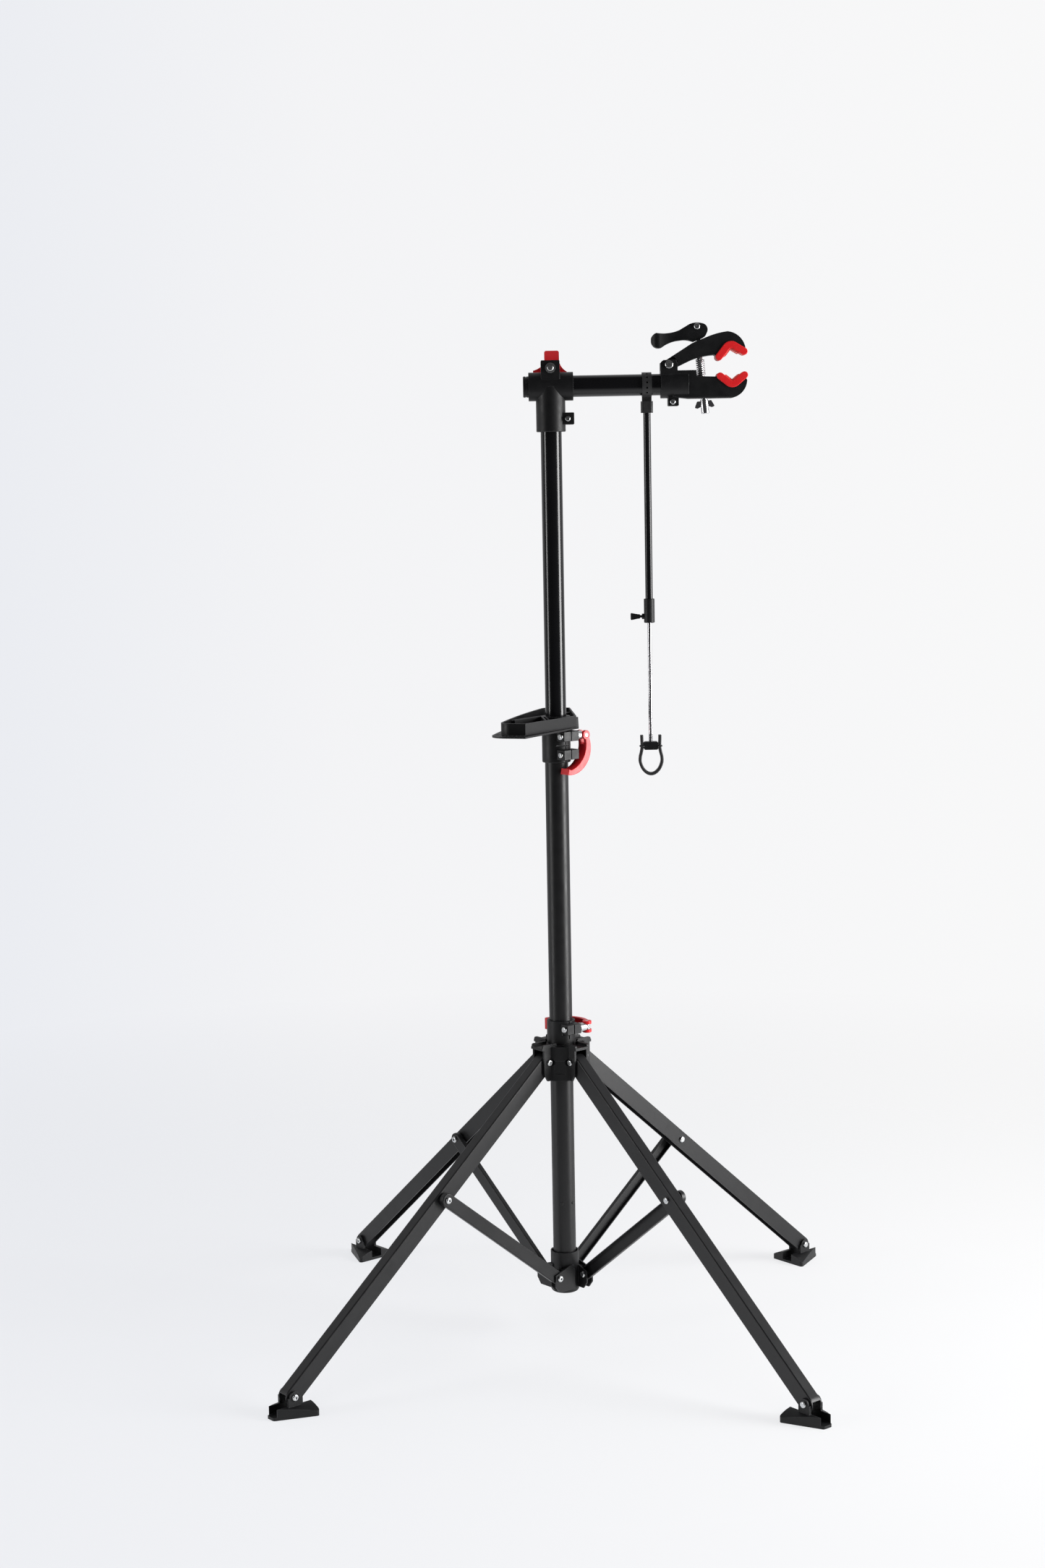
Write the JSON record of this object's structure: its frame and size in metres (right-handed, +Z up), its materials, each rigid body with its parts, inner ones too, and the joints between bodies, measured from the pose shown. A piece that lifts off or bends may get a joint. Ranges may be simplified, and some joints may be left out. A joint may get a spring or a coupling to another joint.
{
  "type": "bicycle repair stand",
  "caption": "Folding repair stand: post on spread legs, sliding mast, clamp arm with cam-lever jaws, tool tray and hanging handlebar rod.",
  "frame": {"origin": "on the floor, on the axis of the post, midway between the feet", "axes": "+Z up along the post, +X along the clamp arm towards the jaws, +Y away from the side where the clamp bolts' heads are"},
  "size_m": [0.8572, 0.8572, 1.5355],
  "materials": {
    "gloss_black_tube": "gloss black enamel on drawn steel tube",
    "satin_black_steel": "satin black powder coat on steel",
    "black_nylon": "moulded glass-filled nylon, fine satin grain",
    "red_plastic": "moulded red plastic, semi-gloss",
    "red_rubber": "soft red rubber pad, satin",
    "black_rubber": "black rubber strap and band",
    "zinc_steel": "bright zinc-plated fasteners",
    "chrome_steel": "polished chrome-plated steel"
  },
  "bodies": {
    "column": {"lower_tube": "satin_black_steel", "bottom_hub": "black_nylon", "bottom_hub_bolts": "zinc_steel", "column_rivets": "satin_black_steel", "tray_collar": "black_nylon", "tool_tray": "black_nylon", "collar_screw": "zinc_steel", "collar_cam_bolt": "zinc_steel"},
    "tray_lever": {"tray_lever": "red_plastic"},
    "leg_hub": {"leg_hub": "black_nylon", "leg_hub_bolts": "zinc_steel", "hub_cam_bolt": "zinc_steel"},
    "hub_lever": {"hub_lever": "red_plastic"},
    "leg_1": {"leg_1": "satin_black_steel", "leg_bolts_1": "zinc_steel"},
    "foot_1": {"foot_1": "black_nylon"},
    "strut_1": {"strut_1": "satin_black_steel", "strut_bolt_1": "zinc_steel", "strut_spacer_1": "black_nylon"},
    "leg_2": {"leg_2": "satin_black_steel", "leg_bolts_2": "zinc_steel"},
    "foot_2": {"foot_2": "black_nylon"},
    "strut_2": {"strut_2": "satin_black_steel", "strut_bolt_2": "zinc_steel", "strut_spacer_2": "black_nylon"},
    "leg_3": {"leg_3": "satin_black_steel", "leg_bolts_3": "zinc_steel"},
    "foot_3": {"foot_3": "black_nylon"},
    "strut_3": {"strut_3": "satin_black_steel", "strut_bolt_3": "zinc_steel", "strut_spacer_3": "black_nylon"},
    "leg_4": {"leg_4": "satin_black_steel", "leg_bolts_4": "zinc_steel"},
    "foot_4": {"foot_4": "black_nylon"},
    "strut_4": {"strut_4": "satin_black_steel", "strut_bolt_4": "zinc_steel", "strut_spacer_4": "black_nylon"},
    "mast": {"upper_tube": "gloss_black_tube", "tee_head": "black_nylon", "tee_bolts": "zinc_steel"},
    "head_lever": {"head_lever": "red_plastic"},
    "arm": {"arm_tube": "gloss_black_tube", "arm_end_cap": "black_nylon", "lower_jaw": "black_nylon", "lower_pad": "red_rubber", "jaw_bolts": "zinc_steel", "jaw_spring": "chrome_steel"},
    "upper_jaw": {"upper_jaw": "black_nylon", "upper_pad": "red_rubber"},
    "draw_bolt": {"draw_bolt": "zinc_steel", "cam_pin": "zinc_steel"},
    "cam_lever": {"cam_lever": "black_nylon"},
    "wing_nut": {"wing_nut": "chrome_steel"},
    "rod": {"rod_band": "black_rubber", "outer_rod": "gloss_black_tube", "rod_coupler": "black_nylon"},
    "thumb_screw": {"thumb_screw": "black_nylon"},
    "inner_rod": {"inner_rod": "chrome_steel"},
    "cradle": {"rod_cradle": "black_nylon", "handlebar_strap": "black_rubber"}
  },
  "joints": [
    {"name": "hub_slide", "type": "slide", "parent": "column", "child": "leg_hub", "axis": [0, 0, 1], "range_m": [0, 0.1975]},
    {"name": "leg_1_hinge", "type": "hinge", "parent": "leg_hub", "child": "leg_1", "pos_m": [-0.02762, -0.02309, 0.4315], "axis": [0.6414, -0.7672, 0], "range_deg": [0, 46.16]},
    {"name": "foot_1_tilt", "type": "hinge", "parent": "leg_1", "child": "foot_1", "pos_m": [-0.39862, -0.3333, 0.028], "axis": [0.6414, -0.7672, 0], "range_deg": [-45, 45]},
    {"name": "strut_1_hinge", "type": "hinge", "parent": "column", "child": "strut_1", "pos_m": [-0.0234, -0.01956, 0.0943], "axis": [-0.6414, 0.7672, 0], "range_deg": [0, 46.68]},
    {"name": "leg_2_hinge", "type": "hinge", "parent": "leg_hub", "child": "leg_2", "pos_m": [0.02309, -0.02762, 0.4315], "axis": [0.7672, 0.6414, 0], "range_deg": [0, 46.16]},
    {"name": "foot_2_tilt", "type": "hinge", "parent": "leg_2", "child": "foot_2", "pos_m": [0.3333, -0.39862, 0.028], "axis": [0.7672, 0.6414, 0], "range_deg": [-45, 45]},
    {"name": "strut_2_hinge", "type": "hinge", "parent": "column", "child": "strut_2", "pos_m": [0.01956, -0.0234, 0.0943], "axis": [-0.7672, -0.6414, 0], "range_deg": [0, 46.68]},
    {"name": "leg_3_hinge", "type": "hinge", "parent": "leg_hub", "child": "leg_3", "pos_m": [0.02762, 0.02309, 0.4315], "axis": [-0.6414, 0.7672, 0], "range_deg": [0, 46.16]},
    {"name": "foot_3_tilt", "type": "hinge", "parent": "leg_3", "child": "foot_3", "pos_m": [0.39862, 0.3333, 0.028], "axis": [-0.6414, 0.7672, 0], "range_deg": [-45, 45]},
    {"name": "strut_3_hinge", "type": "hinge", "parent": "column", "child": "strut_3", "pos_m": [0.0234, 0.01956, 0.0943], "axis": [0.6414, -0.7672, 0], "range_deg": [0, 46.68]},
    {"name": "leg_4_hinge", "type": "hinge", "parent": "leg_hub", "child": "leg_4", "pos_m": [-0.02309, 0.02762, 0.4315], "axis": [-0.7672, -0.6414, 0], "range_deg": [0, 46.16]},
    {"name": "foot_4_tilt", "type": "hinge", "parent": "leg_4", "child": "foot_4", "pos_m": [-0.3333, 0.39862, 0.028], "axis": [-0.7672, -0.6414, 0], "range_deg": [-45, 45]},
    {"name": "strut_4_hinge", "type": "hinge", "parent": "column", "child": "strut_4", "pos_m": [-0.01956, 0.0234, 0.0943], "axis": [0.7672, 0.6414, 0], "range_deg": [0, 46.68]},
    {"name": "hub_lever_cam", "type": "hinge", "parent": "leg_hub", "child": "hub_lever", "pos_m": [0.03941, -0.00659, 0.481], "axis": [0, 0, -1], "range_deg": [0, 120]},
    {"name": "tray_lever_cam", "type": "hinge", "parent": "column", "child": "tray_lever", "pos_m": [0.03983, -0.00313, 0.9278], "axis": [0.6428, -0.766, 0], "range_deg": [0, 75]},
    {"name": "mast_slide", "type": "slide", "parent": "column", "child": "mast", "axis": [0, 0, 1], "range_m": [-0.42, 0.25]},
    {"name": "head_lever_cam", "type": "hinge", "parent": "mast", "child": "head_lever", "pos_m": [0, 0.031, 1.4728], "axis": [-1, 0, 0], "range_deg": [0, 90]},
    {"name": "arm_roll", "type": "hinge", "parent": "mast", "child": "arm", "pos_m": [0, 0, 1.446], "axis": [1, 0, 0], "continuous": true},
    {"name": "rod_swing", "type": "hinge", "parent": "arm", "child": "rod", "pos_m": [0.1425, 0, 1.446], "axis": [1, 0, 0], "continuous": true},
    {"name": "jaw_hinge", "type": "hinge", "parent": "arm", "child": "upper_jaw", "pos_m": [0.1753, 0, 1.4748], "axis": [0, -1, 0], "range_deg": [0, 12], "deforming": ["jaw_spring"]},
    {"name": "draw_slide", "type": "slide", "parent": "arm", "child": "draw_bolt", "axis": [-0.0941, 0, 0.9956], "range_m": [0, 0.0138]},
    {"name": "cam_lever_turn", "type": "hinge", "parent": "draw_bolt", "child": "cam_lever", "pos_m": [0.2172, 0, 1.5295], "axis": [0, 1, 0], "range_deg": [0, 110]},
    {"name": "wing_nut_turn", "type": "hinge", "parent": "arm", "child": "wing_nut", "pos_m": [0.2172, 0, 1.5295], "axis": [-0.0941, 0, 0.9956], "continuous": true},
    {"name": "thumb_screw_turn", "type": "hinge", "parent": "rod", "child": "thumb_screw", "pos_m": [0.12, 0, 1.1036], "axis": [1, 0, 0], "continuous": true},
    {"name": "inner_rod_slide", "type": "slide", "parent": "rod", "child": "inner_rod", "axis": [0, 0, 1], "range_m": [-0.1, 0.165]},
    {"name": "cradle_swivel", "type": "hinge", "parent": "inner_rod", "child": "cradle", "pos_m": [0.1425, 0, 0.909], "axis": [0, 0, 1], "continuous": true}
  ],
  "couplings": [
    {"joint": "leg_1_hinge", "follows": "hub_slide", "rad_per_m": 4.079},
    {"joint": "strut_1_hinge", "follows": "hub_slide", "rad_per_m": 4.125},
    {"joint": "leg_2_hinge", "follows": "hub_slide", "rad_per_m": 4.079},
    {"joint": "strut_2_hinge", "follows": "hub_slide", "rad_per_m": 4.125},
    {"joint": "leg_3_hinge", "follows": "hub_slide", "rad_per_m": 4.079},
    {"joint": "strut_3_hinge", "follows": "hub_slide", "rad_per_m": 4.125},
    {"joint": "leg_4_hinge", "follows": "hub_slide", "rad_per_m": 4.079},
    {"joint": "strut_4_hinge", "follows": "hub_slide", "rad_per_m": 4.125},
    {"joint": "draw_slide", "follows": "jaw_hinge", "m_per_rad": 0.0657}
  ]
}
